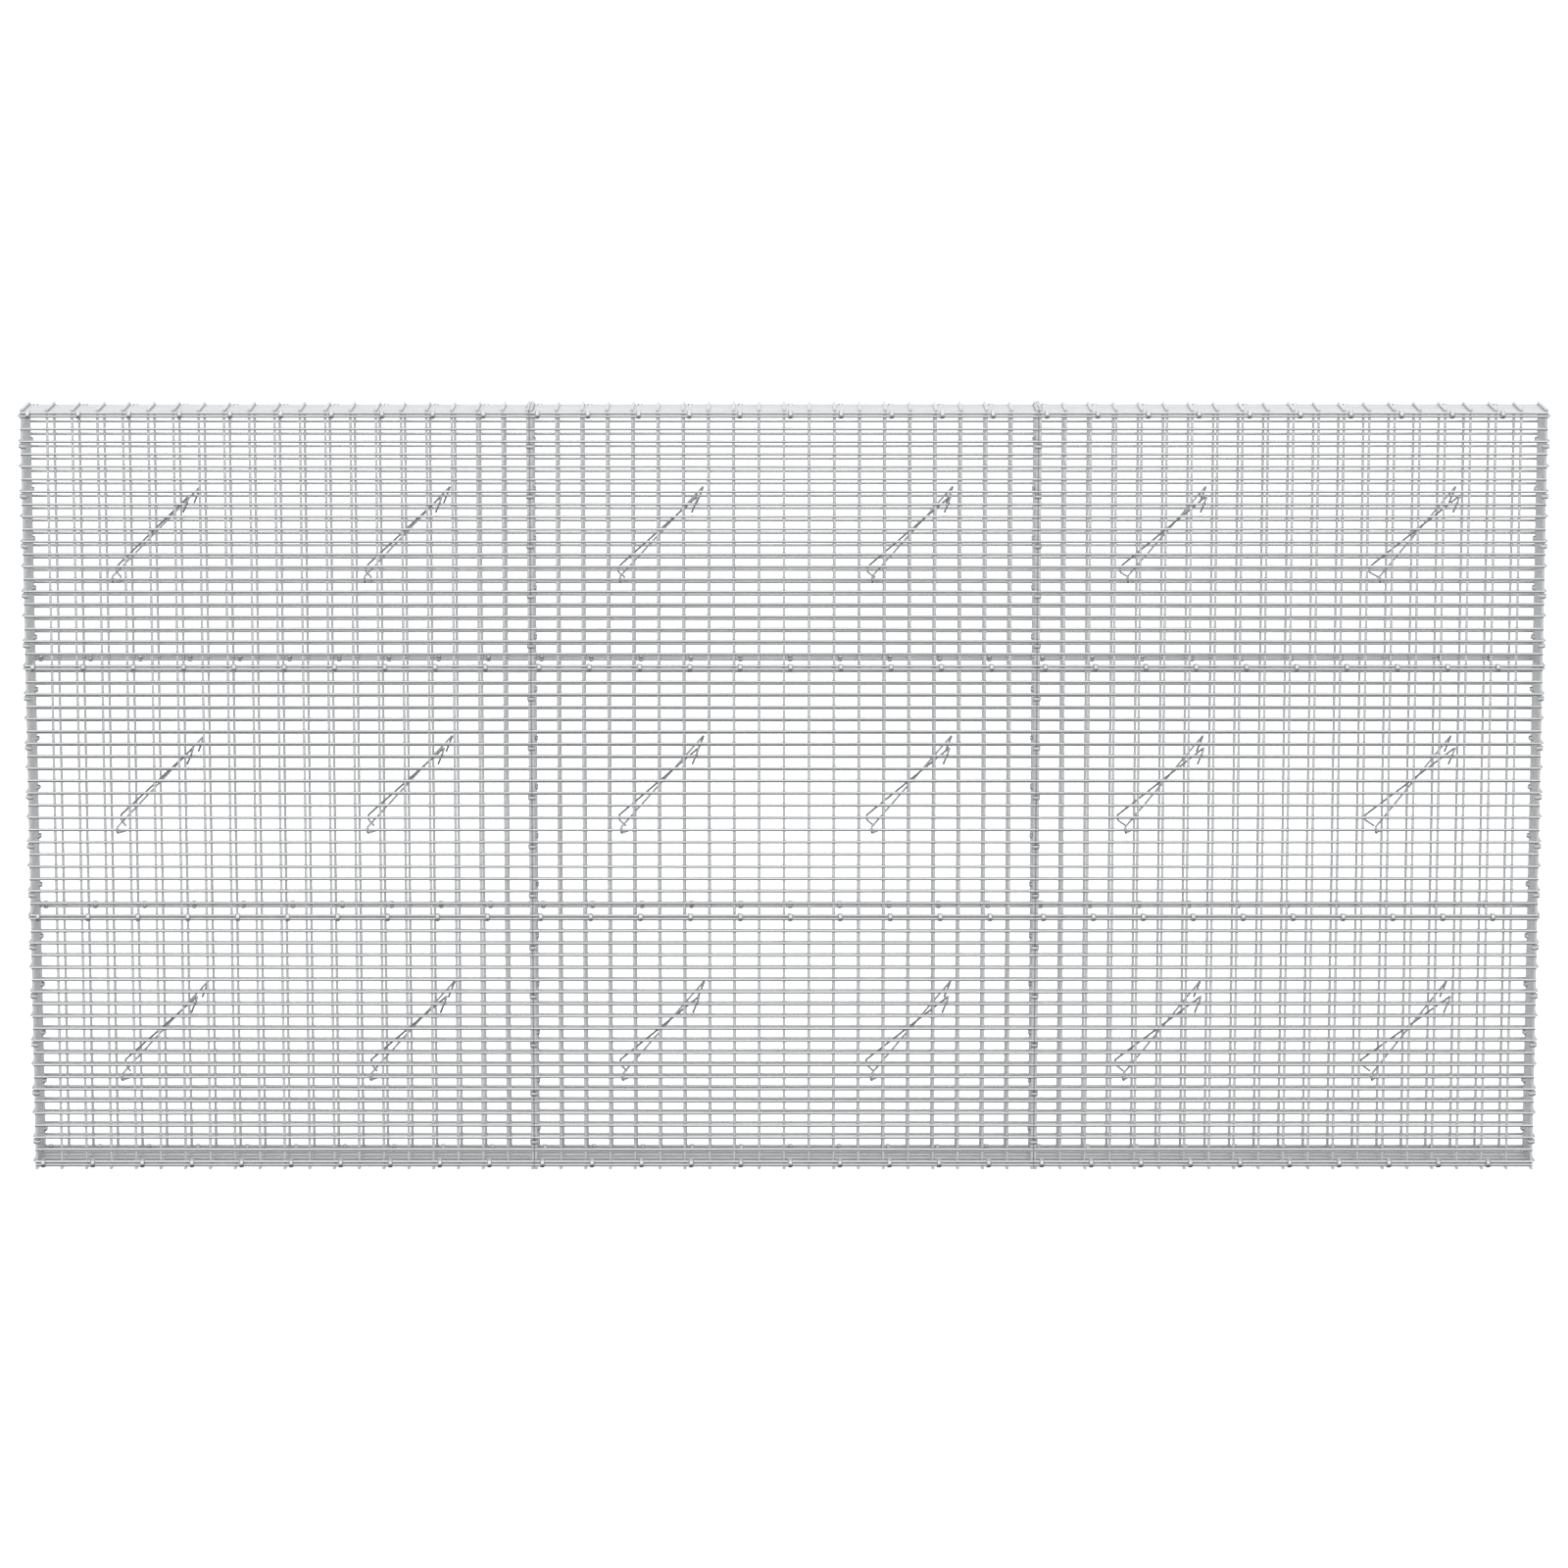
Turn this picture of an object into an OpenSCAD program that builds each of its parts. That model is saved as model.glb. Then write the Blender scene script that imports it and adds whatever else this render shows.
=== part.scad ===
// Gabion wall: an empty cage of welded wire mesh panels, tied edge to edge with rings.
// X runs along the wall, Y through it (the front faces -Y) and Z up.
// The origin is the middle of the footprint, on the ground. Millimetres.

/* [Mesh] */
// Thickness of the wires inside a panel
mesh_wire_d = 12; // [6:0.5:16]
// How much thicker the wires along a panel's edges are
edge_extra_d = 0.8; // [0.6:0.1:2]
// How far an edge wire bites into the wires that it crosses
weld_bite = 0.2; // [0.1:0.05:0.25]
// Cell width, along the wall
cell_w = 100; // [80:5:150]
// Cell height, and cell width through the wall
cell_h = 50; // [45:1:80]

/* [Panels] */
// Cells along one front or back panel
cells_along = 20; // [12:1:24]
// Rows of cells up one front, back or end panel
cells_up = 20; // [12:2:24]
// Cells through the wall, across a cover or base panel
cells_through = 5; // [4:1:10]
// Clearance between the edge wires of two panels that meet
pair_gap = 0.7; // [0.4:0.1:4]
// Clearance between the wire ends of two panels side by side
end_gap = 1.5; // [0.5:0.1:5]

/* [Rings] */
// Width of a ring, along the wires that it ties
ring_width = 17; // [8:0.5:20]
// Thickness of a ring in the middle of its width
ring_wall = 3; // [2:0.5:5]
// Thickness of a ring at its two edges
ring_edge = 1; // [0.8:0.1:1.8]
// Clearance between a ring and the two wires in it
ring_gap = 0.5; // [0.3:0.1:2]
// Cells from one ring to the next along a level edge
ring_cells = 2; // [1:1:4]
// Rows from one ring to the next up a seam or a corner
ring_rows = 4; // [2:1:6]
// Turn of each ring out of square with the wires
ring_skew = 5; // [0:1:10]

/* [Braces] */
// Thickness of the brace wires
brace_wire_d = 9; // [5:0.1:11]
// Rows between the two ends of a brace wire
brace_rows = 6; // [4:2:8]
// Cells along the wall between the two ends of a brace wire
brace_cells = 3; // [1:2:5]
// Clearance between a brace hook and the row that it holds
hook_gap = 0.3; // [0.2:0.1:1]
// Clearance between the two brace wires where they cross
cross_gap = 0.6; // [0.4:0.1:3]
// Clearance between a brace wire and the row that it passes over at its high end
leg_gap = 1; // [0.5:0.1:3]
// Sideways lean of the lip of each hook
hook_lean = 28; // [15:1:35]
// Fall of the high hook's lip below the middle of its row
high_lip = 32; // [15:1:60]
// Length of the low hook's lip, back into the cage from its bend
low_lip = 86; // [40:1:100]
// Fall of the low hook's lip over that length
low_fall = 6; // [3:1:12]

/* [Hidden] */
BAYS = ["left", "centre", "right"];
TIERS = ["lower", "middle", "upper"];
BRACES_A_BAY = 2;

WIRE_SIDES = 8;
BRACE_SIDES = 6;
RING_FACES = 48;
edge_wire_d = mesh_wire_d + edge_extra_d;
// Two crossing wires of a panel lie in two layers, this far apart
layer = (mesh_wire_d + edge_wire_d) / 2 - weld_bite;
// Two edge wires that are tied together lie this far apart
pair = edge_wire_d + pair_gap;
// Every wire runs this far past the middle of the edge wire that it crosses
wire_end = (pair - end_gap) / 2;

panel_w = cells_along * cell_w;
panel_h = cells_up * cell_h;
wall_d = cells_through * cell_h;
bay_pitch = panel_w + pair;
tier_pitch = panel_h + pair;
wall_w = len(BAYS) * bay_pitch - pair;
wall_h = len(TIERS) * tier_pitch - pair;

// Heights of the base wires, of the lowest row and of the cover wires
base_cross_z = edge_wire_d / 2;
base_long_z = base_cross_z + layer;
first_row_z = base_long_z + pair;
cover_long_z = first_row_z + wall_h + pair;
cover_cross_z = cover_long_z + layer;

// The rows are outside and the uprights inside
row_y = wall_d / 2;
upright_y = row_y - layer;
// The end panels stand between the uprights of the front and back panels
end_half_d = upright_y - pair;
end_cells = cells_through - 1;
end_pitch = 2 * end_half_d / end_cells;
// A cell of an end panel is as high as this many rows
END_CELL_ROWS = 2;
end_cell_h = END_CELL_ROWS * cell_h;
end_cells_up = cells_up / END_CELL_ROWS;

// An edge wire's radius to its corners, and a ring's bore, which its turn makes a little wider
edge_corner_r = edge_wire_d / 2 / cos(180 / WIRE_SIDES);
ring_shift = ring_width / 2 * tan(ring_skew);
bore_r = norm([ring_shift, pair / 2]) + edge_corner_r / cos(ring_skew) + ring_gap;
// The rings stand between the wires that cross the tied pair: the first one along a level
// edge is a quarter of a cell in, and the highest one up a seam is 2.4 rows down
ring_x0 = cell_w / 4;
ring_z0 = panel_h - 2.4 * cell_h;
ring_dx = ring_cells * cell_w;
ring_dz = ring_rows * cell_h;
rings_along = floor((panel_w - ring_x0) / ring_dx) + 1;
rings_up = floor(ring_z0 / ring_dz) + 1;
// The two rings of a cover seam are in the middle of the second cell from each edge
cover_ring_y = row_y - 1.5 * cell_h;

// A brace wire's width across its corners
brace_width = brace_wire_d / cos(180 / BRACE_SIDES);
// From the middle of a row to the middle of the wire that bends round it
hook_r = (mesh_wire_d + brace_width) / 2 + hook_gap;
hook_y = row_y + hook_r;
// A brace wire's leg runs from above its low row to the bend outside and over its high row.
// The bend stands so much higher than the hook needs that the leg clears the row's inner corner
brace_rise = brace_rows * cell_h;
leg_dy = row_y + hook_y;
corner_dy = hook_r + mesh_wire_d / 2;
corner_dz = hook_r - mesh_wire_d / 2;
leg_room = (brace_width / 2 + leg_gap) * norm([leg_dy, brace_rise + cell_h]);
bend_rise = (corner_dy * brace_rise - corner_dz * leg_dy + leg_room) / (leg_dy - corner_dy);
leg_dx = brace_cells * cell_w + hook_lean;
leg_dz = brace_rise + bend_rise;
// Sideways step that keeps the two crossing legs of a pair of braces clear of each other
brace_step = (brace_width + cross_gap) * norm([leg_dx, leg_dz]) / leg_dz;

function bay_x(b) = -wall_w / 2 + b * bay_pitch;
function tier_z(t) = first_row_z + t * tier_pitch;

// A straight wire of flat sides, of thickness d, from point a to point b
module wire(a, b, d, sides = WIRE_SIDES) {
    v = b - a;
    translate(a)
        rotate([0, acos(v.z / norm(v)), atan2(v.y, v.x)])
            rotate([0, 0, 180 / sides])
                cylinder(d = d / cos(180 / sides), h = norm(v), $fn = sides);
}

// A square bar of thickness d along one axis, from point a to point b
module bar(a, b, d) {
    low = [for (i = [0:2]) min(a[i], b[i])];
    size = [for (i = [0:2]) abs(b[i] - a[i])];
    long = [for (i = [0:2]) size[i] > 0 ? 0 : d];
    translate(low - long / 2)
        cube(size + long);
}

// Parallel wires of a panel: n + 1 of them, a step apart, the first and last thicker
module wires(a, b, step, n) {
    for (i = [0:n]) {
        if (i == 0 || i == n) wire(a + i * step, b + i * step, edge_wire_d);
        else bar(a + i * step, b + i * step, mesh_wire_d);
    }
}

// A mesh panel of nu by nv cells: wires along u in one layer, wires along v offset by w
module panel(u, nu, v, nv, w) {
    eu = wire_end * u / norm(u);
    ev = wire_end * v / norm(v);
    wires(-eu, nu * u + eu, v, nv);
    wires(w - ev, w + nv * v + ev, u, nu);
}

// side is -1 for the front and 1 for the back
module face_panel(b, t, side) {
    translate([bay_x(b), side * row_y, tier_z(t)])
        panel([cell_w, 0, 0], cells_along, [0, 0, cell_h], cells_up, [0, -side * layer, 0]);
}

// A flat panel; its cross wires lie above (1) or below (-1) its long wires
module flat_panel(b, z, up) {
    translate([bay_x(b), -row_y, z])
        panel([cell_w, 0, 0], cells_along, [0, cell_h, 0], cells_through, [0, 0, up * layer]);
}

// A ring round two wires that are tied together; middle is the point between them. It is a
// band with a raised middle. It is turned out of square about the line that joins the two
// wires, so that both still pass through
module ring(middle, turn) {
    edge = [bore_r + ring_edge, ring_width / 2];
    crown = [bore_r + ring_wall, ring_width / 6];
    translate(middle)
        rotate(turn)
            rotate_extrude($fn = RING_FACES)
                polygon([
                    [bore_r, edge.y],
                    [bore_r, -edge.y],
                    [edge.x, -edge.y],
                    [crown.x, -crown.y],
                    crown,
                    edge
                ]);
}

// Rings up every tier of one seam or corner
module rings_up_at(x, y, turn) {
    for (t = [0:len(TIERS) - 1], i = [0:rings_up - 1])
        ring([x, y, tier_z(t) + ring_z0 - i * ring_dz], turn);
}

// Rings along every level edge, and up the seams between bays; side as in face_panel
module face_rings(side) {
    tier_tops = [for (t = [0:len(TIERS) - 1]) tier_z(t) + panel_h + pair / 2];
    edges = concat([base_long_z + pair / 2], tier_tops);
    for (b = [0:len(BAYS) - 1], z = edges, i = [0:rings_along - 1])
        ring([bay_x(b) + ring_x0 + i * ring_dx, side * row_y, z], [0, 90, ring_skew]);
    for (b = [1:len(BAYS) - 1])
        rings_up_at(bay_x(b) - pair / 2, side * upright_y, [ring_skew, 0, 0]);
}

// Rings up both corners of the left (-1) or right (1) end
module corner_rings(side) {
    for (y = [-1, 1])
        rings_up_at(side * wall_w / 2, y * (upright_y - pair / 2), [0, ring_skew, 0]);
}

// A brace wire from one face (-1 front, 1 back) at its low end to the other at its high end.
// It passes over both rows. The low hook comes back under its row, into the cage, and the
// high hook hangs down outside. x is the low bend's place, and row_z its row's height
module brace_wire(x, row_z, side) {
    lip_end = [x + hook_lean, side * (hook_y - low_lip), row_z - hook_r - low_fall];
    below_row = [x, side * hook_y, row_z - hook_r];
    above_row = [x, side * hook_y, row_z + hook_r];
    low_leg = [x, side * row_y, row_z + hook_r];
    high_bend = low_leg + [leg_dx, -side * leg_dy, leg_dz];
    high_end = [high_bend.x - hook_lean, high_bend.y, row_z + brace_rise - high_lip];
    corner = [0, side * brace_wire_d / 2, 0];
    wire(lip_end, below_row + corner, brace_wire_d, BRACE_SIDES);
    wire(below_row, above_row, brace_wire_d, BRACE_SIDES);
    wire(above_row + corner, low_leg - corner, brace_wire_d, BRACE_SIDES);
    wire(low_leg, high_bend, brace_wire_d, BRACE_SIDES);
    translate(high_bend)
        sphere(d = brace_width);
    wire(high_bend, high_end, brace_wire_d, BRACE_SIDES);
}

module front_panel(b, t) {
    color("gainsboro") face_panel(b, t, -1);
}

module back_panel(b, t) {
    color("lightgray") face_panel(b, t, 1);
}

// side is -1 for the left end and 1 for the right end
module end_panel(side, t) {
    color("lightgray")
        translate([side * wall_w / 2, -end_half_d, tier_z(t)])
            panel([0, 0, end_cell_h], end_cells_up, [0, end_pitch, 0], end_cells, [side * layer, 0, 0]);
}

module cover(b) {
    color("silver") flat_panel(b, cover_long_z, 1);
}

module base_panel(b) {
    color("silver") flat_panel(b, base_long_z, -1);
}

// The pairs of crossing brace wires in one bay of one tier
module braces(b, t) {
    z = tier_z(t) + floor(cells_up / 2) * cell_h - brace_rise / 2;
    color("darkgray")
        for (i = [0:BRACES_A_BAY - 1]) {
            middle = floor(cells_along * (2 * i + 1) / (2 * BRACES_A_BAY)) * cell_w;
            x = bay_x(b) + middle - brace_cells * cell_w / 2;
            brace_wire(x, z, -1);
            brace_wire(x - brace_step, z, 1);
        }
}

module rings_front() {
    color("darkgray") face_rings(-1);
}

module rings_back() {
    color("darkgray") face_rings(1);
}

module rings_left_end() {
    color("darkgray") corner_rings(-1);
}

module rings_right_end() {
    color("darkgray") corner_rings(1);
}

// Two rings across each seam between the covers
module rings_covers() {
    color("darkgray")
        for (b = [1:len(BAYS) - 1], y = [-cover_ring_y, cover_ring_y])
            ring([bay_x(b) - pair / 2, y, cover_cross_z], [90 + ring_skew, 0, 0]);
}

for (b = [0:len(BAYS) - 1]) {
    for (t = [0:len(TIERS) - 1]) {
        front_panel(b, t);
        back_panel(b, t);
        braces(b, t);
    }
    cover(b);
    base_panel(b);
}
for (t = [0:len(TIERS) - 1]) {
    end_panel(-1, t);
    end_panel(1, t);
}
rings_front();
rings_back();
rings_left_end();
rings_right_end();
rings_covers();
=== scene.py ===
# %% [markdown]
# # A gabion wall cage
# A gabion is a basket of welded wire mesh that is filled with stone where it will stand. This
# one is three bays long and three tiers high, and it is still empty, so every wire shows, from
# both sides at once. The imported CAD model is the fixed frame: it says where each panel, ring
# and brace is. Blender draws the wires themselves, round and welded, and gives them their zinc.

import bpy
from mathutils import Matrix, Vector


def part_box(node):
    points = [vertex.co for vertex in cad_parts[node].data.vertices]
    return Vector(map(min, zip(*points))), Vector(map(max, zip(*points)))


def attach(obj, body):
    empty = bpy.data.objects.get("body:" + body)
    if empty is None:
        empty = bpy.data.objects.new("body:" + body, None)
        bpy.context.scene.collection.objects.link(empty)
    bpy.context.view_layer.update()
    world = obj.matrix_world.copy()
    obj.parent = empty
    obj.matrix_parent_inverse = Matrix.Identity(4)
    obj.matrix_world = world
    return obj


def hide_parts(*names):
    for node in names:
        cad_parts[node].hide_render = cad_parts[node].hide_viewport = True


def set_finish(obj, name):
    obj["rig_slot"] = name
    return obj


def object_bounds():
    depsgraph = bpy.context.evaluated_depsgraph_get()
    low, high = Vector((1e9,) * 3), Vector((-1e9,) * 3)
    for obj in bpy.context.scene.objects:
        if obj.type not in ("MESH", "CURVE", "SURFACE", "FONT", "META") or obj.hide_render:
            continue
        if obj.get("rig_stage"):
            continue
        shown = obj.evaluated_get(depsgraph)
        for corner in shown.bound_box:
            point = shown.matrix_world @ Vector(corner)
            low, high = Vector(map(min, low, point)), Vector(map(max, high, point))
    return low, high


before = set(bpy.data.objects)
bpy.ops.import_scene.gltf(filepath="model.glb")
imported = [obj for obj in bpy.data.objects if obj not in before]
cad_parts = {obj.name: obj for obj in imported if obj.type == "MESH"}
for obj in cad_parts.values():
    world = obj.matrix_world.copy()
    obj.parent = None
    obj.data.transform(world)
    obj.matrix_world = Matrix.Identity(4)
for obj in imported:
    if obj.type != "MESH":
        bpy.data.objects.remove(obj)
cad_low, cad_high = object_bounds()
print("CAD box in metres:", tuple(cad_low), tuple(cad_high))

import bpy
import numpy as np

X, Y, Z = 0, 1, 2
AXES = np.eye(3)
BAYS = ("left", "centre", "right")
TIERS = ("lower", "middle", "upper")
rng = np.random.default_rng(7)
print("nodes in the frame:", len(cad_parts))

# %% [markdown]
# ## What the wires measure
# The mesh is drawn wire, a little thicker along the edge of each panel, where the rings pull on
# it. All sizes are in metres. A panel's own box in the frame gives its place, so these few
# thicknesses and counts are all that the script has to know.

# %% Wire sizes and counts
MESH_D = 0.012
EDGE_D = 0.0128
WIRE_PAST = 0.006
RING_WIDTH = 0.017
RING_WALL = 0.003
BRACE_D = 0.009
CUT_BEVEL = 0.0012
CELLS_ALONG = 20
CELLS_UP = 20
CELLS_THROUGH = 5
END_CELLS_THROUGH = 4
END_CELLS_UP = 10
print("cells in one face panel:", CELLS_ALONG * CELLS_UP)

# %% [markdown]
# ## One way to make every wire
# Mesh wires, weld beads, rings and braces are all the same thing to a modeller: a round section
# carried along a path. A curve object with a bevel would do it too, but hundreds of curves are
# slow, and their ends cannot be shaped. Here whole arrays of paths are swept at once with numpy,
# and the radius may change from station to station, which gives cut ends and beads for free.

# %% Sweep a round section along many paths
def unit(v):
    """Each vector divided by its own length."""
    return v / np.linalg.norm(v, axis=-1, keepdims=True)


def sweep(paths, ref, radius, sides, flat=1.0):
    """Point = path point + radius times (cos a times e1 + flat times sin a times e2). The angle a
    goes once round in equal steps. e1 is the reference direction with its part along the path
    taken out, e2 is the path's direction crossed with e1, and flat is 1 for a round section.
    Shape of the result: path, station, side, xyz."""
    along = unit(np.gradient(paths, axis=1))
    e1 = unit(ref - (ref * along).sum(-1, keepdims=True) * along)
    e2 = np.cross(along, e1)
    a = 2 * np.pi * np.arange(sides) / sides
    circle = np.cos(a)[:, None] * e1[:, :, None] + flat * np.sin(a)[:, None] * e2[:, :, None]
    return paths[:, :, None] + radius[:, :, None, None] * circle


def skin(count, stations, sides):
    """Corners of the faces over such a grid of points: four-sided ones round and along each
    tube, and one face of all the sides at each end. Every face points outwards."""
    i = np.arange(count * stations * sides).reshape(count, stations, sides)
    j = np.roll(i, -1, axis=2)
    quads = np.stack([i[:, :-1], j[:, :-1], j[:, 1:], i[:, 1:]], axis=-1)
    ends = np.concatenate([i[:, 0, ::-1], i[:, -1]])
    return [quads.reshape(-1, 4), ends]


def tubes(paths, ref, radius, sides, weld=0.0, flat=1.0):
    """A batch of closed tubes with three values at each point: the tube's own tone from 0 to 1,
    the distance along it in metres, and whether it is a weld."""
    count, stations = paths.shape[:2]
    points = sweep(paths, ref, radius, sides, flat)
    steps = np.linalg.norm(np.diff(paths, axis=1), axis=-1)
    distance = np.concatenate([np.zeros((count, 1)), np.cumsum(steps, axis=1)], axis=1)
    tone = np.repeat(rng.random(count), stations * sides)
    return {
        "points": points.reshape(-1, 3),
        "faces": skin(count, stations, sides),
        "tone": tone,
        "along": np.repeat(distance.ravel(), sides),
        "weld": np.full(len(tone), weld),
    }


# A short straight path with a waist shows what comes out
WIRE_SIDES = 10
sample_path = np.array([[[0, 0, 0], [0, 0, 1], [0, 0, 2.0]]])
sample = tubes(sample_path, AXES[X], np.array([[1, 0.5, 1]]), WIRE_SIDES)
sample_faces = [len(f) for f in sample["faces"]]
print("points in a sample tube:", len(sample["points"]), "faces:", sample_faces)

# %% [markdown]
# ## From arrays to an object
# The batches of one panel become one mesh. Its points, corners and face starts go in as whole
# arrays, which takes a fraction of the time of adding faces one by one. The cut ends stay flat
# and the rest is smooth. The three values ride along as attributes for the materials to read.

# %% Join batches into one mesh object
made = {}


def piece(name, batches, slot, *nodes):
    """One object from several batches of tubes. It stands for the named CAD nodes."""
    points = np.concatenate([b["points"] for b in batches])
    first = np.cumsum([0] + [len(b["points"]) for b in batches])
    faces = [f + shift for b, shift in zip(batches, first) for f in b["faces"]]
    sizes = np.concatenate([np.full(len(f), f.shape[1]) for f in faces])
    corners = np.concatenate([f.ravel() for f in faces])
    mesh = bpy.data.meshes.new(name)
    mesh.vertices.add(len(points))
    mesh.vertices.foreach_set("co", points.ravel())
    mesh.loops.add(len(corners))
    mesh.loops.foreach_set("vertex_index", corners)
    mesh.polygons.add(len(sizes))
    mesh.polygons.foreach_set("loop_start", np.cumsum(sizes) - sizes)
    mesh.update(calc_edges=True)
    mesh.polygons.foreach_set("use_smooth", sizes == 4)
    for key in ("tone", "along", "weld"):
        values = mesh.attributes.new(key, "FLOAT", "POINT")
        values.data.foreach_set("value", np.concatenate([b[key] for b in batches]))
    obj = bpy.data.objects.new(name, mesh)
    bpy.context.scene.collection.objects.link(obj)
    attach(obj, "root")
    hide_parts(*nodes)
    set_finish(obj, slot)
    made[name] = obj
    return int((sizes - 2).sum())


print("ready to make pieces for", len(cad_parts), "nodes")

# %% [markdown]
# ## Welded mesh
# A panel is two layers of straight wires that cross, and a machine has pressed and welded them
# at every crossing. Three things tell the eye that it is welded and not woven: the wires stay
# in their own layers, a small flattened bead sits in each crossing, and every wire is sheared
# off just past the edge wire. Real wires also wander by a fraction of a millimetre.

# %% Straight wires with sheared ends
SPANS = 4
SWAY = 0.0004
EDGE_SWAY = 0.0001
SWAY_WAVES = (0.6, 1.7)
CUT_SHARE = 0.8


def stations(length):
    """Shares of the length: the cut end, the end of its bevel, one more a bevel's length on, and
    equal spans. Smooth shading bends at a bevel, and the extra station stops that bend from
    running on along the wire."""
    bevel = CUT_BEVEL / length
    inner = np.linspace(0, 1, SPANS + 1)[1:-1]
    return np.concatenate([[0, bevel, 2 * bevel], inner, [1 - 2 * bevel, 1 - bevel, 1]])


def straight_wires(starts, ends, sideways, diameters, sway):
    """Path = start + share times (end - start) + sway times a slow sine, sideways. The radius is
    half the diameter, less at the two cut ends."""
    length = np.linalg.norm(ends[0] - starts[0])
    t = stations(length)
    count = len(starts)
    waves = rng.uniform(*SWAY_WAVES, (count, 1))
    phase = rng.uniform(0, 2 * np.pi, (count, 1))
    shift = sway[:, None] * np.sin(2 * np.pi * waves * t + phase)
    paths = starts[:, None] + t[:, None] * (ends - starts)[:, None]
    paths = paths + shift[:, :, None] * sideways
    share = np.where((t == 0) | (t == 1), CUT_SHARE, 1.0)
    ref = np.cross(sideways, unit(ends[0] - starts[0]))
    return tubes(paths, ref, diameters[:, None] / 2 * share, WIRE_SIDES)


print("stations on a 2 m wire:", stations(2.0).round(4))

# %% Weld beads
BEAD_SIDES = 8
BEAD_R = 0.0056
BEAD_HALF = 0.0026
BEAD_POLE = 0.45
BEAD_SPREAD = (0.88, 1.1)


def weld_beads(centres, normal):
    """A bead is a squashed ball on three stations along the panel's normal: narrow, wide, narrow.
    Its width differs a little from weld to weld."""
    count = len(centres)
    levels = np.array([-1.0, 0.0, 1.0]) * BEAD_HALF
    paths = centres[:, None] + levels[:, None] * normal
    width = BEAD_R * rng.uniform(*BEAD_SPREAD, (count, 1))
    radius = width * np.array([BEAD_POLE, 1.0, BEAD_POLE])
    return tubes(paths, np.roll(normal, 1), radius, BEAD_SIDES, weld=1.0)


print("faces of one bead:", 2 * BEAD_SIDES + 2)

# %% [markdown]
# One function now makes any panel. It reads the panel's box from the frame. Half an edge wire in
# from the box's faces are the middles of the edge wires, and the same holds through the panel,
# where the two layers lie. The rest is counting cells.

# %% A panel of any kind
def mesh_panel(name, node, slot, u, v, cells_u, cells_v, long_side):
    """Long wires run along axis u and cross wires along axis v. long_side is 0 where the long
    wires lie in the lower layer along the third axis, and 1 where they lie in the upper."""
    low, high = (np.array(c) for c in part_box(node))
    first, last = low + EDGE_D / 2, high - EDGE_D / 2
    w = 3 - u - v
    layers = (first[w], last[w])
    u_at = np.linspace(first[u], last[u], cells_u + 1)
    v_at = np.linspace(first[v], last[v], cells_v + 1)
    batches = []
    for axis, other, at, layer in (
        (u, v, v_at, layers[long_side]),
        (v, u, u_at, layers[1 - long_side]),
    ):
        starts = np.zeros((len(at), 3))
        starts[:, other] = at
        starts[:, w] = layer
        ends = starts.copy()
        starts[:, axis] = first[axis] - WIRE_PAST
        ends[:, axis] = last[axis] + WIRE_PAST
        edge = (at == at[0]) | (at == at[-1])
        diameters = np.where(edge, EDGE_D, MESH_D)
        sway = np.where(edge, EDGE_SWAY, SWAY)
        batches.append(straight_wires(starts, ends, AXES[other], diameters, sway))
    grid_u, grid_v = np.meshgrid(u_at, v_at)
    centres = np.zeros((grid_u.size, 3))
    centres[:, u] = grid_u.ravel()
    centres[:, v] = grid_v.ravel()
    centres[:, w] = sum(layers) / 2
    batches.append(weld_beads(centres, AXES[w]))
    return piece(name, batches, slot, node)


# %% Front and back faces
triangles = 0
for bay in BAYS:
    for tier in TIERS:
        for face, outside in (("front", 0), ("back", 1)):
            triangles += mesh_panel(
                f"{face}_mesh_{bay}_{tier}", f"{face}_panel_{bay}_{tier}", "face_mesh",
                X, Z, CELLS_ALONG, CELLS_UP, outside,
            )
print("triangles in the faces:", triangles)

# %% Ends, covers and base
for tier in TIERS:
    for end, inside in (("left", 1), ("right", 0)):
        triangles += mesh_panel(
            f"end_mesh_{end}_{tier}", f"end_panel_{end}_{tier}", "end_mesh",
            Z, Y, END_CELLS_UP, END_CELLS_THROUGH, inside,
        )
for bay in BAYS:
    for node, long_side in (("cover", 0), ("base_panel", 1)):
        triangles += mesh_panel(
            f"{node}_mesh_{bay}", f"{node}_{bay}", "cover_mesh",
            X, Y, CELLS_ALONG, CELLS_THROUGH, long_side,
        )
print("triangles in all the mesh:", triangles)

# %% [markdown]
# ## Rings
# The panels are tied with rings. A ring is a short piece of wide, low wire with a raised middle,
# and special pliers close it round two edge wires. It is not a torus: its section is a long
# ellipse, and its two ends almost meet on the inside of the cage. Hundreds of rings are needed,
# so each has only a few dozen faces.

# %% One clip, many times
RING_SIDES = 6
RING_STEPS = 13
RING_SKEW = np.radians(5)
RING_TILT = 0.02
RING_TURN = 0.4
RING_END_SHARE = 0.8
HALF_GAP = 0.1


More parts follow.
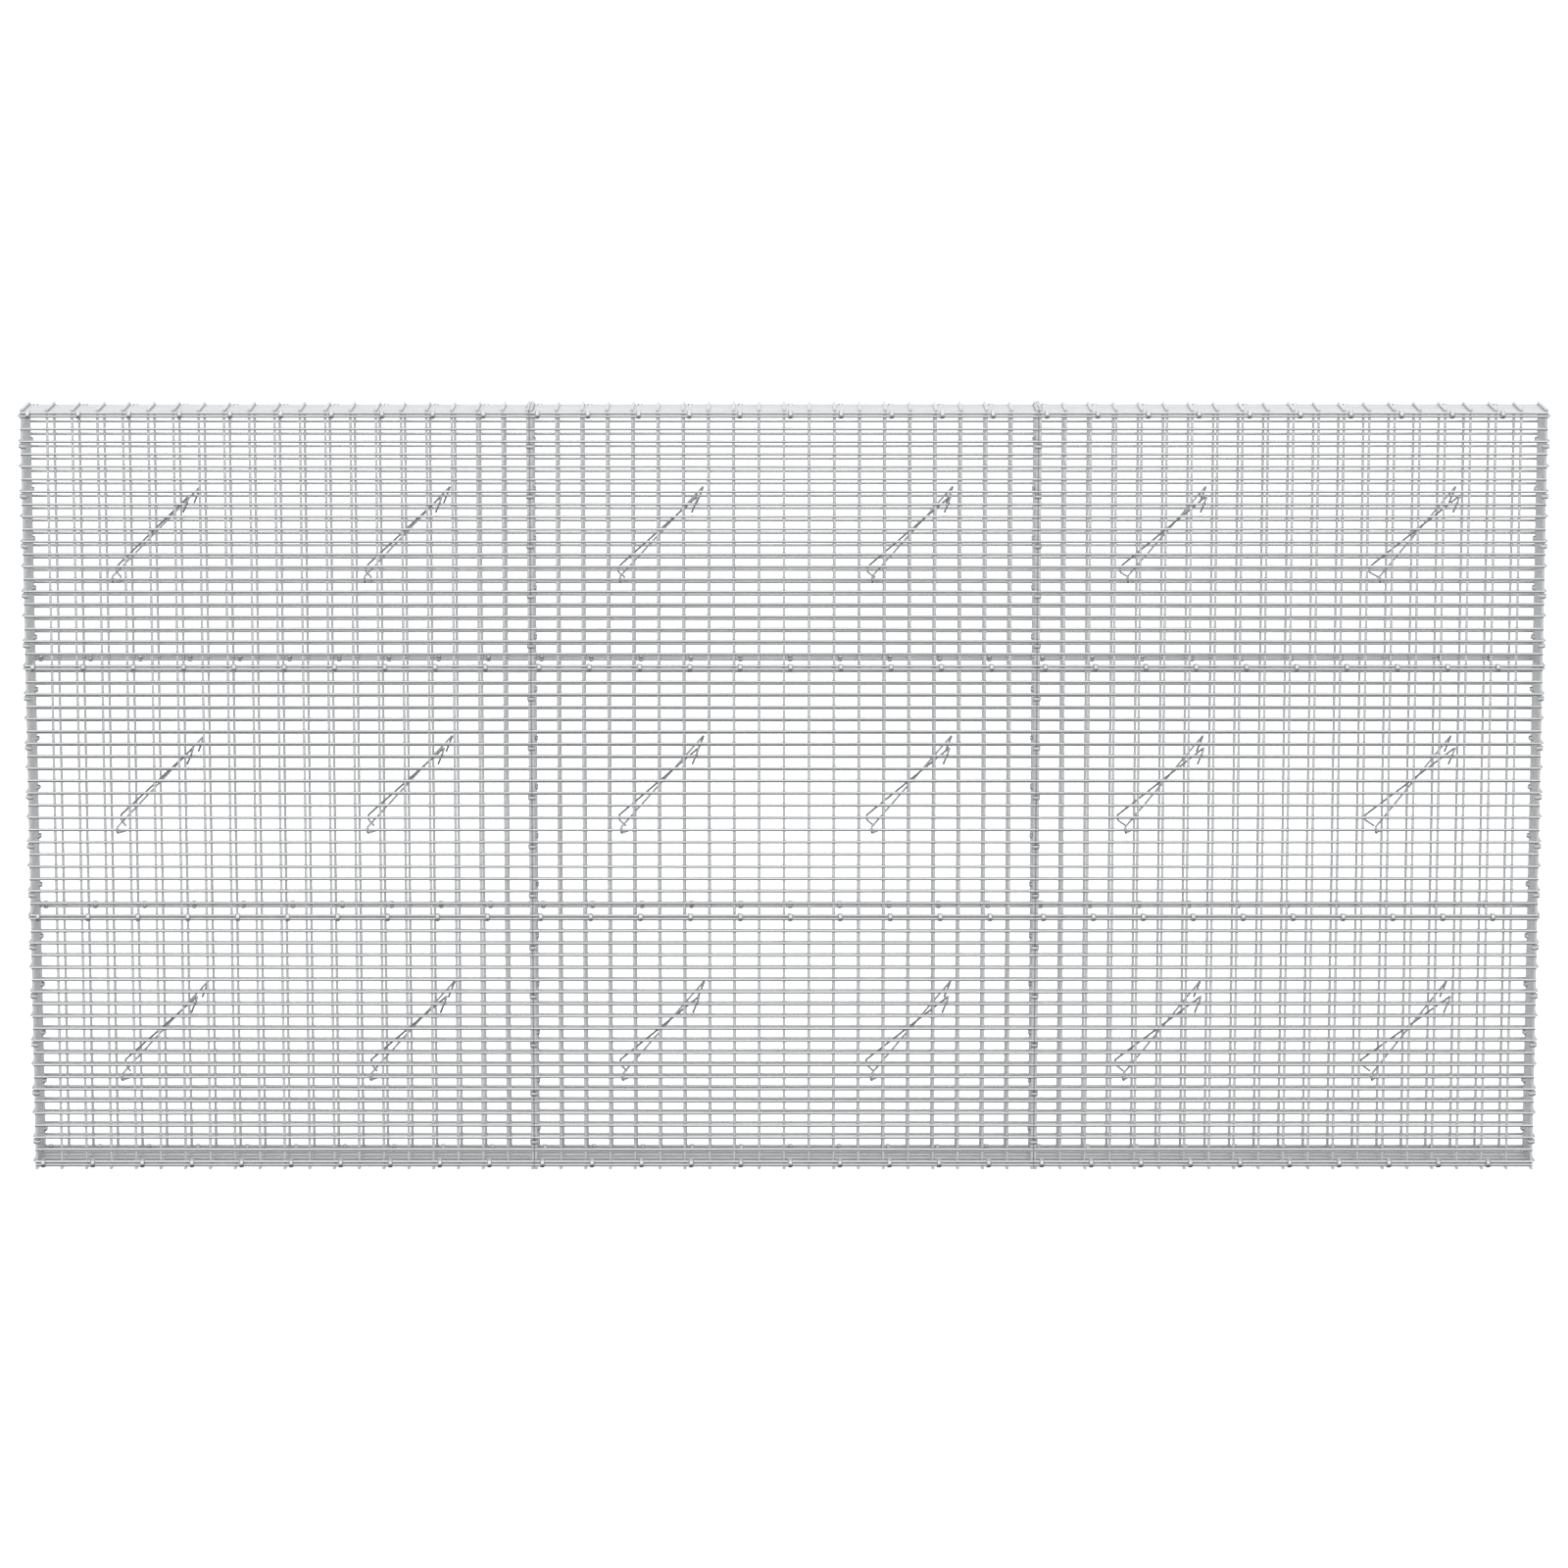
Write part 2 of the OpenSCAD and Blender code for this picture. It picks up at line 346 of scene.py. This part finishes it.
def rings(middles, axis, inward, radius):
    """Point = middle + R cos t times p + R sin t times q. p points inwards, q = axis crossed with
    p, and the angle t runs from just past 0 to just short of a full turn. Each ring is turned and
    tilted a little. The section is half a ring's width along the axis and half its thickness
    outwards."""
    count = len(middles)
    turn = rng.uniform(-RING_TURN, RING_TURN, (count, 1))
    t = np.linspace(HALF_GAP, 2 * np.pi - HALF_GAP, RING_STEPS) + turn
    tilt = rng.normal(0, RING_TILT, (count, 1))
    n = unit(axis + tilt * np.cross(axis, inward))
    p = unit(inward - (inward * n).sum(-1, keepdims=True) * n)
    q = np.cross(n, p)
    paths = (
        middles[:, None]
        + radius * np.cos(t)[:, :, None] * p[:, None]
        + radius * np.sin(t)[:, :, None] * q[:, None]
    )
    size = np.full(paths.shape[:2], RING_WIDTH / 2)
    size[:, [0, -1]] *= RING_END_SHARE
    return tubes(paths, n[:, None], size, RING_SIDES, flat=RING_WALL / RING_WIDTH)


print("faces of one ring:", (RING_STEPS - 1) * RING_SIDES + 2)

# %% [markdown]
# The rings sit round pairs of edge wires, and the panels' boxes say where those are. The lowest
# row of one tier and the highest row of the next are a pair, and so are the last upright of one
# bay and the first of the next.

# %% Where the pairs of edge wires are
EDGE_R = EDGE_D / 2
bay_first = [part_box(f"front_panel_{b}_lower")[0].x + EDGE_R for b in BAYS]
bay_last = [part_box(f"front_panel_{b}_lower")[1].x - EDGE_R for b in BAYS]
tier_first = [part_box(f"front_panel_left_{t}")[0].z + EDGE_R for t in TIERS]
tier_last = [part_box(f"front_panel_left_{t}")[1].z - EDGE_R for t in TIERS]
base_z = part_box("base_panel_left")[1].z - EDGE_R
cover_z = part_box("cover_left")[0].z + EDGE_R
cover_cross_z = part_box("cover_left")[1].z - EDGE_R
row_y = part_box("back_panel_left_lower")[1].y - EDGE_R
upright_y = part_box("back_panel_left_lower")[0].y + EDGE_R
end_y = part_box("end_panel_left_lower")[1].y - EDGE_R
cell_w = (bay_last[0] - bay_first[0]) / CELLS_ALONG
cell_h = (tier_last[0] - tier_first[0]) / CELLS_UP
level_z = [(a + b) / 2 for a, b in zip([base_z, *tier_last], [*tier_first, cover_z])]
seam_x = [(a + b) / 2 for a, b in zip(bay_last, bay_first[1:])]
print("level edges at", np.round(level_z, 4), "and seams at", np.round(seam_x, 4))

# %% Places of the rings
ring_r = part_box("rings_back")[1].z - level_z[-1] - RING_WALL / 2
RING_EVERY_CELLS = 2
RING_EVERY_ROWS = 4
RING_FROM_SIDE = 0.25
RING_FROM_TOP = 2.4
level_x = np.arange(RING_FROM_SIDE, CELLS_ALONG, RING_EVERY_CELLS) * cell_w
rows_down = np.arange(RING_FROM_TOP, CELLS_UP, RING_EVERY_ROWS) * cell_h


def level_rings(side):
    """Rings along every level edge of one face, at even steps in each bay."""
    spots = [(x0 + dx, side * row_y, z) for x0 in bay_first for z in level_z for dx in level_x]
    middles = np.array(spots)
    axis = np.array([np.cos(RING_SKEW), np.sin(RING_SKEW), 0])
    return rings(middles, np.tile(axis, (len(middles), 1)), -side * AXES[Y], ring_r)


def upright_rings(spots, lean, inward):
    """Rings up every tier at each spot, a spot being an x and a y. They lean along one axis."""
    places = [(x, y, top - dz) for x, y in spots for top in tier_last for dz in rows_down]
    middles = np.array(places)
    axis = np.sin(RING_SKEW) * lean + np.cos(RING_SKEW) * AXES[Z]
    return rings(middles, np.tile(axis, (len(middles), 1)), inward, ring_r)


for face, side in (("front", -1), ("back", 1)):
    seams = upright_rings([(x, side * upright_y) for x in seam_x], -AXES[Y], -side * AXES[Y])
    triangles += piece(f"ties_{face}", [level_rings(side), seams], "ring_wire", f"rings_{face}")
corner_y = (upright_y + end_y) / 2
for end, x in (("left", bay_first[0]), ("right", bay_last[-1])):
    corners = upright_rings([(x, -corner_y), (x, corner_y)], AXES[X], -np.sign(x) * AXES[X])
    triangles += piece(f"ties_{end}_end", [corners], "ring_wire", f"rings_{end}_end")
print("rings along one level edge:", len(level_x), "and up one tier:", len(rows_down))

# %% Rings across the cover seams
COVER_RING_CELLS = 1.5
cover_spots = [(x, y, cover_cross_z) for x in seam_x for y in (-1, 1)]
cover_middles = np.array(cover_spots) * (1, row_y - COVER_RING_CELLS * cell_h, 1)
cover_axis = np.tile([0, -np.cos(RING_SKEW), -np.sin(RING_SKEW)], (len(cover_middles), 1))
cover_ties = rings(cover_middles, cover_axis, -AXES[Z], ring_r)
triangles += piece("ties_covers", [cover_ties], "ring_wire", "rings_covers")
print("rings across the covers:", len(cover_middles))

# %% [markdown]
# ## Braces
# Stone would push the two faces apart, so pairs of stiff wires run from face to face. Each goes
# over a row at both ends. At its low end it turns down round the row and comes back under it,
# into the cage, and at its high end it hangs down outside. The path is six corners, and the four
# inner ones are rounded, because wire cannot be bent sharp.

# %% Round the corners of a path
BRACE_SIDES = 10
BENDS = (0.011, 0.0055, 0.0055, 0.011)
BEND_STEPS = 6


def rounded(corners):
    """Near a corner P the path is (1-s)^2 A + 2s(1-s) P + s^2 C, where A and C lie on the two
    straight stretches, one bend length from P, and s goes from 0 to 1. The longest stretch has
    one more station, in its middle."""
    s = np.linspace(0, 1, BEND_STEPS)[:, None]
    steps = np.diff(corners, axis=1)
    legs = unit(steps)
    bends = []
    for k, bend in enumerate(BENDS, 1):
        p = corners[:, k, None]
        a = p - bend * legs[:, k - 1, None]
        c = p + bend * legs[:, k, None]
        bends.append((1 - s) ** 2 * a + 2 * s * (1 - s) * p + s**2 * c)
    tips = [corners[:, :1], corners[:, :1] + CUT_BEVEL * legs[:, :1]]
    tails = [corners[:, -1:] - CUT_BEVEL * legs[:, -1:], corners[:, -1:]]
    long = int(np.linalg.norm(steps[0], axis=-1).argmax())
    middle = (corners[:, long, None] + corners[:, long + 1, None]) / 2
    return np.concatenate([*tips, *bends[:long], middle, *bends[long:], *tails], axis=1)


print("stations on one brace wire:", len(BENDS) * BEND_STEPS + 5)

# %% [markdown]
# The rows that a brace hooks over are counted from the lowest row of its tier. The high bend of
# the first wire is the farthest corner of the brace's box, and the other wires stand back from
# it by whole cells, or by the small step that lets the two wires of a pair cross.

# %% Hooked wires in pairs
LOW_ROW = 7
HIGH_ROW = 13
BRACE_CELLS = 3
PAIR_CELLS = 10
PAIRS = 2
PAIR_STEP = 0.0156
HOOK_GAP = 0.0003
LEAN = 0.028
LOW_LIP = 0.086
LOW_FALL = 0.006
HIGH_LIP = 0.032
brace_width = BRACE_D / np.cos(np.pi / 6)
hook_r = (MESH_D + brace_width) / 2 + HOOK_GAP
hook_y = row_y + hook_r


def brace_corners(bend_x, bend_z, side, first_row):
    """Six corners: lip inside, under the low row, over it, start of the leg, high bend, lip."""
    low_x = bend_x - LEAN - BRACE_CELLS * cell_w
    low_row, high_row = first_row + LOW_ROW * cell_h, first_row + HIGH_ROW * cell_h
    return np.array([
        (low_x + LEAN, side * (hook_y - LOW_LIP), low_row - hook_r - LOW_FALL),
        (low_x, side * hook_y, low_row - hook_r),
        (low_x, side * hook_y, low_row + hook_r),
        (low_x, side * row_y, low_row + hook_r),
        (bend_x, -side * hook_y, bend_z),
        (bend_x - LEAN, -side * hook_y, high_row - HIGH_LIP),
    ])


for bay in BAYS:
    for tier, first_row in zip(TIERS, tier_first):
        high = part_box(f"braces_{bay}_{tier}")[1]
        bend_x, bend_z = high.x - brace_width / 2, high.z - brace_width / 2
        corners = [
            brace_corners(bend_x - i * PAIR_CELLS * cell_w - back, bend_z, side, first_row)
            for i in range(PAIRS)
            for side, back in ((-1, 0), (1, PAIR_STEP))
        ]
        paths = rounded(np.array(corners))
        radius = np.full(paths.shape[:2], BRACE_D / 2)
        radius[:, [0, -1]] *= CUT_SHARE
        wires = tubes(paths, AXES[X], radius, BRACE_SIDES)
        here = f"{bay}_{tier}"
        triangles += piece(f"brace_wires_{here}", [wires], "brace_wire", f"braces_{here}")
print("triangles in the whole cage:", triangles)

# %% [markdown]
# ## Zinc
# The wire is dipped in molten zinc after it is welded. New zinc is pale and fairly bright. Seen
# close, it has a faint pattern of crystals, the spangle, slow changes along each wire where the
# bath ran off, and a duller, slightly whiter bloom on the welds. These three are shader node
# groups, because all five finishes use them, each with its own values. They only work out
# colours and values: the shader itself stays in each material.

# %% A small helper for node groups
def new_group(name, inputs, outputs):
    """An empty shader node group with named sockets, and its two end nodes."""
    group = bpy.data.node_groups.new(name, "ShaderNodeTree")
    for title, kind, value in inputs:
        socket = group.interface.new_socket(title, in_out="INPUT", socket_type=kind)
        if value is not None:
            socket.default_value = value
    for title, kind in outputs:
        group.interface.new_socket(title, in_out="OUTPUT", socket_type=kind)
    return group, group.nodes.new("NodeGroupInput"), group.nodes.new("NodeGroupOutput")


def add(tree, kind, label, **settings):
    """A node with a label, and settings on the node itself."""
    node = tree.nodes.new(kind)
    node.label = label
    for key, value in settings.items():
        setattr(node, key, value)
    return node


print("sockets are made with the group's interface")

# %% The spangle
CRYSTALS_PER_M = 160.0
CLOUDS_PER_M = 9.0


def spangle_group():
    """Tone = 0.5 + spread times (crystal value - 0.5) + spread times (cloud value - 0.5). The
    crystals are cells with one value each, and the cloud is slow noise over many wires."""
    group, start, end = new_group(
        "zinc_spangle",
        [("Vector", "NodeSocketVector", None), ("Scale", "NodeSocketFloat", CRYSTALS_PER_M),
         ("Spread", "NodeSocketFloat", 0.5)],
        [("Tone", "NodeSocketFloat"), ("Height", "NodeSocketFloat")],
    )
    link = group.links.new
    crystals = add(group, "ShaderNodeTexVoronoi", "crystals")
    grey = add(group, "ShaderNodeRGBToBW", "one value a crystal")
    cloud = add(group, "ShaderNodeTexNoise", "cloud")
    cloud.inputs["Scale"].default_value = CLOUDS_PER_M
    cloud.inputs["Detail"].default_value = 3.0
    both = add(group, "ShaderNodeMath", "both", operation="ADD")
    centred = add(group, "ShaderNodeMath", "centred", operation="SUBTRACT")
    centred.inputs[1].default_value = 1.0
    tone = add(group, "ShaderNodeMath", "tone", operation="MULTIPLY_ADD")
    tone.inputs[2].default_value = 0.5
    link(start.outputs["Vector"], crystals.inputs["Vector"])
    link(start.outputs["Scale"], crystals.inputs["Scale"])
    link(start.outputs["Vector"], cloud.inputs["Vector"])
    link(crystals.outputs["Color"], grey.inputs["Color"])
    link(grey.outputs["Val"], both.inputs[0])
    link(cloud.outputs["Fac"], both.inputs[1])
    link(both.outputs["Value"], centred.inputs[0])
    link(centred.outputs["Value"], tone.inputs[0])
    link(start.outputs["Spread"], tone.inputs[1])
    link(tone.outputs["Value"], end.inputs["Tone"])
    link(crystals.outputs["Distance"], end.inputs["Height"])
    return group


SPANGLE = spangle_group()
print(SPANGLE.name, "has", len(SPANGLE.nodes), "nodes")

# %% Runs along the wire
RUNS_PER_M = 14.0
STRETCH_APART = 500.0


def runs_group():
    """Tone = the wire's own tone, plus slow noise of the distance along it. Each wire reads its
    own stretch of the noise, because its tone is added to the distance many times over."""
    group, start, end = new_group(
        "zinc_runs",
        [("Scale", "NodeSocketFloat", RUNS_PER_M), ("Wire", "NodeSocketFloat", 0.5),
         ("Runs", "NodeSocketFloat", 0.5)],
        [("Tone", "NodeSocketFloat")],
    )
    link = group.links.new
    wire = add(group, "ShaderNodeAttribute", "tone of the wire", attribute_name="tone")
    along = add(group, "ShaderNodeAttribute", "distance along", attribute_name="along")
    place = add(group, "ShaderNodeMath", "own stretch", operation="MULTIPLY_ADD")
    place.inputs[1].default_value = STRETCH_APART
    noise = add(group, "ShaderNodeTexNoise", "runs", noise_dimensions="1D")
    noise.inputs["Detail"].default_value = 2.0
    wire_part = add(group, "ShaderNodeMath", "wire part", operation="MULTIPLY")
    run_part = add(group, "ShaderNodeMath", "tone", operation="MULTIPLY_ADD")
    link(wire.outputs["Fac"], place.inputs[0])
    link(along.outputs["Fac"], place.inputs[2])
    link(place.outputs["Value"], noise.inputs["W"])
    link(start.outputs["Scale"], noise.inputs["Scale"])
    link(wire.outputs["Fac"], wire_part.inputs[0])
    link(start.outputs["Wire"], wire_part.inputs[1])
    link(noise.outputs["Fac"], run_part.inputs[0])
    link(start.outputs["Runs"], run_part.inputs[1])
    link(wire_part.outputs["Value"], run_part.inputs[2])
    link(run_part.outputs["Value"], end.inputs["Tone"])
    return group


RUNS = runs_group()
print(RUNS.name, "has", len(RUNS.nodes), "nodes")

# %% Bloom on the welds
PATCHES_PER_M = 260.0
BLOOM_ALWAYS = 0.4


def bloom_group():
    """Mask = weld value times (an even share plus the rest times fine noise), so that the bloom
    is patchy."""
    group, start, end = new_group(
        "weld_bloom",
        [("Vector", "NodeSocketVector", None), ("Amount", "NodeSocketFloat", 0.6)],
        [("Mask", "NodeSocketFloat")],
    )
    link = group.links.new
    weld = add(group, "ShaderNodeAttribute", "weld", attribute_name="weld")
    noise = add(group, "ShaderNodeTexNoise", "patches")
    noise.inputs["Scale"].default_value = PATCHES_PER_M
    patchy = add(group, "ShaderNodeMath", "patchy", operation="MULTIPLY_ADD")
    patchy.inputs[1].default_value = 1 - BLOOM_ALWAYS
    patchy.inputs[2].default_value = BLOOM_ALWAYS
    amount = add(group, "ShaderNodeMath", "amount", operation="MULTIPLY")
    mask = add(group, "ShaderNodeMath", "mask", operation="MULTIPLY")
    link(start.outputs["Vector"], noise.inputs["Vector"])
    link(noise.outputs["Fac"], patchy.inputs[0])
    link(patchy.outputs["Value"], amount.inputs[0])
    link(start.outputs["Amount"], amount.inputs[1])
    link(amount.outputs["Value"], mask.inputs[0])
    link(weld.outputs["Fac"], mask.inputs[1])
    link(mask.outputs["Value"], end.inputs["Mask"])
    return group


BLOOM = bloom_group()
print(BLOOM.name, "has", len(BLOOM.nodes), "nodes")

# %% [markdown]
# ## The finishes
# Each finish puts the three groups together: the two tones choose between a dark and a light
# zinc, the bloom whitens the welds, and the same tone makes the darker crystals a little
# rougher. The drawn wire of the braces is duller than the welded mesh. Metal has no colour of
# its own apart from what it mirrors, so the lights matter as much as these values.

# %% A zinc finish
BLOOM_COLOUR = (0.80, 0.80, 0.79, 1)
METAL = 0.92
ROUGHER, SMOOTHER = 0.07, 0.05
RELIEF, RELIEF_DEPTH = 0.06, 0.0004


def zinc(name, dark, light, rough, spread, wire, bloom):
    """Base colour = dark + tone times (light - dark), then white bloom. Roughness = rough, a
    little more where the tone is dark and less where it is light. Height = crystals, very low."""
    material = bpy.data.materials.new(name)
    material.use_nodes = True
    tree = material.node_tree
    link = tree.links.new
    shader = tree.nodes["Principled BSDF"]
    shader.inputs["Metallic"].default_value = METAL
    place = add(tree, "ShaderNodeTexCoord", "object coordinates")
    spangle = add(tree, "ShaderNodeGroup", "spangle", node_tree=SPANGLE)
    spangle.inputs["Spread"].default_value = spread
    runs = add(tree, "ShaderNodeGroup", "runs", node_tree=RUNS)
    runs.inputs["Wire"].default_value = wire
    runs.inputs["Runs"].default_value = 1 - wire
    patches = add(tree, "ShaderNodeGroup", "bloom", node_tree=BLOOM)
    patches.inputs["Amount"].default_value = bloom
    tone = add(tree, "ShaderNodeMath", "mean of the tones", operation="ADD")
    half = add(tree, "ShaderNodeMath", "half", operation="MULTIPLY", use_clamp=True)
    half.inputs[1].default_value = 0.5
    base = add(tree, "ShaderNodeMix", "dark to light", data_type="RGBA")
    base.inputs["A"].default_value = (*dark, 1)
    base.inputs["B"].default_value = (*light, 1)
    white = add(tree, "ShaderNodeMix", "bloom on welds", data_type="RGBA")
    white.inputs["B"].default_value = BLOOM_COLOUR
    roughness = add(tree, "ShaderNodeMapRange", "roughness")
    roughness.inputs["To Min"].default_value = rough + ROUGHER
    roughness.inputs["To Max"].default_value = rough - SMOOTHER
    bump = add(tree, "ShaderNodeBump", "crystal relief")
    bump.inputs["Strength"].default_value = RELIEF
    bump.inputs["Distance"].default_value = RELIEF_DEPTH
    link(place.outputs["Object"], spangle.inputs["Vector"])
    link(place.outputs["Object"], patches.inputs["Vector"])
    link(spangle.outputs["Tone"], tone.inputs[0])
    link(runs.outputs["Tone"], tone.inputs[1])
    link(tone.outputs["Value"], half.inputs[0])
    link(half.outputs["Value"], base.inputs["Factor"])
    link(base.outputs["Result"], white.inputs["A"])
    link(patches.outputs["Mask"], white.inputs["Factor"])
    link(half.outputs["Value"], roughness.inputs["Value"])
    link(spangle.outputs["Height"], bump.inputs["Height"])
    link(white.outputs["Result"], shader.inputs["Base Color"])
    link(roughness.outputs["Result"], shader.inputs["Roughness"])
    link(bump.outputs["Normal"], shader.inputs["Normal"])
    return material


print("a finish mixes", SPANGLE.name, RUNS.name, "and", BLOOM.name)

# %% The five finishes
PALE = (0.78, 0.785, 0.79)
GREY = (0.56, 0.57, 0.58)
DULL = (0.36, 0.365, 0.375)
finishes = {
    "face_mesh": zinc("zinc_face_mesh", GREY, PALE, 0.28, 0.25, 0.5, 0.5),
    "end_mesh": zinc("zinc_end_mesh", GREY, PALE, 0.30, 0.25, 0.5, 0.5),
    "cover_mesh": zinc("zinc_cover_mesh", GREY, PALE, 0.34, 0.3, 0.5, 0.5),
    "brace_wire": zinc("zinc_brace_wire", DULL, GREY, 0.26, 0.3, 0.3, 0.0),
    "ring_wire": zinc("zinc_ring_wire", GREY, PALE, 0.24, 0.2, 0.7, 0.0),
}
for obj in made.values():
    obj.data.materials.append(finishes[obj["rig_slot"]])
print("pieces with a finish:", len(made))

# %% [markdown]
# ## Stage, light and camera
# Bare metal shows what stands round it more than what shines on it: each wire is a long narrow
# mirror that goes all round the room. So the room is the main light. It is a pale dome, bright
# above, a little less bright at the height of the eye and dark straight below, which gives every
# level wire its pale top and its thin dark underside. The floor is there for the camera only.

# %% Floor
FLOOR_HALF = 300.0
FLOOR_COLOUR = (0.95, 0.95, 0.95, 1)
FLOOR_LIFT = 0.7


def floor_material():
    """Camera rays see a near-white matt surface, and all other rays go through it to the dome."""
    material = bpy.data.materials.new("pale_floor")
    material.use_nodes = True
    tree = material.node_tree
    link = tree.links.new
    tree.nodes.remove(tree.nodes["Principled BSDF"])
    seen = add(tree, "ShaderNodeBsdfDiffuse", "seen")
    seen.inputs["Color"].default_value = FLOOR_COLOUR
    glow = add(tree, "ShaderNodeEmission", "lift")
    glow.inputs["Strength"].default_value = FLOOR_LIFT
    lifted = add(tree, "ShaderNodeAddShader", "seen and lifted")
    clear = add(tree, "ShaderNodeBsdfTransparent", "clear")
    rays = add(tree, "ShaderNodeLightPath", "kind of ray")
    choose = add(tree, "ShaderNodeMixShader", "choose")
    link(seen.outputs["BSDF"], lifted.inputs[0])
    link(glow.outputs["Emission"], lifted.inputs[1])
    link(rays.outputs["Is Camera Ray"], choose.inputs["Fac"])
    link(clear.outputs["BSDF"], choose.inputs[1])
    link(lifted.outputs["Shader"], choose.inputs[2])
    link(choose.outputs["Shader"], tree.nodes["Material Output"].inputs["Surface"])
    return material


floor_mesh = bpy.data.meshes.new("floor")
square = [(-1, -1, 0), (1, -1, 0), (1, 1, 0), (-1, 1, 0)]
floor_mesh.from_pydata([tuple(FLOOR_HALF * c for c in p) for p in square], [], [(0, 1, 2, 3)])
floor_mesh.materials.append(floor_material())
floor = bpy.data.objects.new("floor", floor_mesh)
bpy.context.scene.collection.objects.link(floor)
floor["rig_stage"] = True
print("floor is", 2 * FLOOR_HALF, "m wide")

# %% Soft light
def softbox(name, place, target, width, height, power):
    """An area light at place that faces target."""
    light = bpy.data.lights.new(name, "AREA")
    light.shape = "RECTANGLE"
    light.size = width
    light.size_y = height
    light.energy = power
    obj = bpy.data.objects.new(name, light)
    bpy.context.scene.collection.objects.link(obj)
    obj.location = place
    towards = Vector(target) - Vector(place)
    obj.rotation_mode = "QUATERNION"
    obj.rotation_quaternion = towards.to_track_quat("-Z", "Y")


LAMP_POWER = 25
middle = (cad_low + cad_high) / 2
softbox("overhead", (0, -2.0, 9.0), middle, 14, 6, LAMP_POWER)
softbox("front_high", (-5.0, -12.0, 10.0), middle, 8, 5, LAMP_POWER)

# %% The pale dome
DOME_STRENGTH = 1.22
DOME = (
    (0.00, 0.05),
    (0.20, 0.12),
    (0.35, 0.68),
    (0.50, 0.80),
    (0.66, 0.96),
    (1.00, 1.00),
)
DOME_TINT = (0.985, 0.995, 1.0)


def dome_world():
    """Grey = a ramp over (1 + height of the direction) / 2, from straight down to straight up."""
    world = bpy.data.worlds.new("studio")
    world.use_nodes = True
    tree = world.node_tree
    link = tree.links.new
    way = add(tree, "ShaderNodeTexCoord", "direction")
    parts = add(tree, "ShaderNodeSeparateXYZ", "its height")
    share = add(tree, "ShaderNodeMapRange", "from below to above")
    share.inputs["From Min"].default_value = -1.0
    ramp = add(tree, "ShaderNodeValToRGB", "dome")
    stops = ramp.color_ramp.elements
    while len(stops) < len(DOME):
        stops.new(0.5)
    for stop, (place, grey) in zip(stops, DOME):
        stop.position = place
        stop.color = (*(grey * tint for tint in DOME_TINT), 1)
    link(way.outputs["Generated"], parts.inputs["Vector"])
    link(parts.outputs["Z"], share.inputs["Value"])
    link(share.outputs["Result"], ramp.inputs["Fac"])
    tree.nodes["Background"].inputs["Strength"].default_value = DOME_STRENGTH
    link(ramp.outputs["Color"], tree.nodes["Background"].inputs["Color"])
    return world


bpy.context.scene.world = dome_world()
bpy.context.scene.view_settings.view_transform = "Standard"
print("dome from", DOME[0][1], "below to", DOME[-1][1], "above")

# %% [markdown]
# The camera is far off and a little above the wall, with a long lens, so the back of the cage
# shows just inside the front and the uprights stay nearly parallel. A slight downward shift of
# the lens takes some of the tilt, as a view camera does, and keeps them straighter still.

# %% Camera
DISTANCE = 22.0
RAISED = 4.25
LENS = 128.9
SENSOR = 36.0
SHIFT = -0.12
AIM_LIFT = 0.0015
SEES_TO = 2000.0
camera_data = bpy.data.cameras.new("camera")
camera_data.lens = LENS
camera_data.sensor_width = SENSOR
camera_data.shift_y = SHIFT
camera_data.clip_end = SEES_TO
camera = bpy.data.objects.new("camera", camera_data)
bpy.context.scene.collection.objects.link(camera)
camera.location = (0, cad_low.y - DISTANCE, middle.z + RAISED)
drop = np.arctan2(RAISED, DISTANCE) + np.arctan(SHIFT * SENSOR / LENS) - AIM_LIFT
camera.rotation_euler = (np.pi / 2 - drop, 0, 0)
bpy.context.scene.camera = camera
print("camera looks down by", round(float(np.degrees(drop)), 2), "degrees")

# %% [markdown]
# ## The drawn box
# The box of the CAD model and the box of what is drawn are written side by side: they have to
# agree, because the looks never change the size.

# %% Sizes of both boxes
low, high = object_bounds()
print("drawn box in metres:", tuple(low), tuple(high))
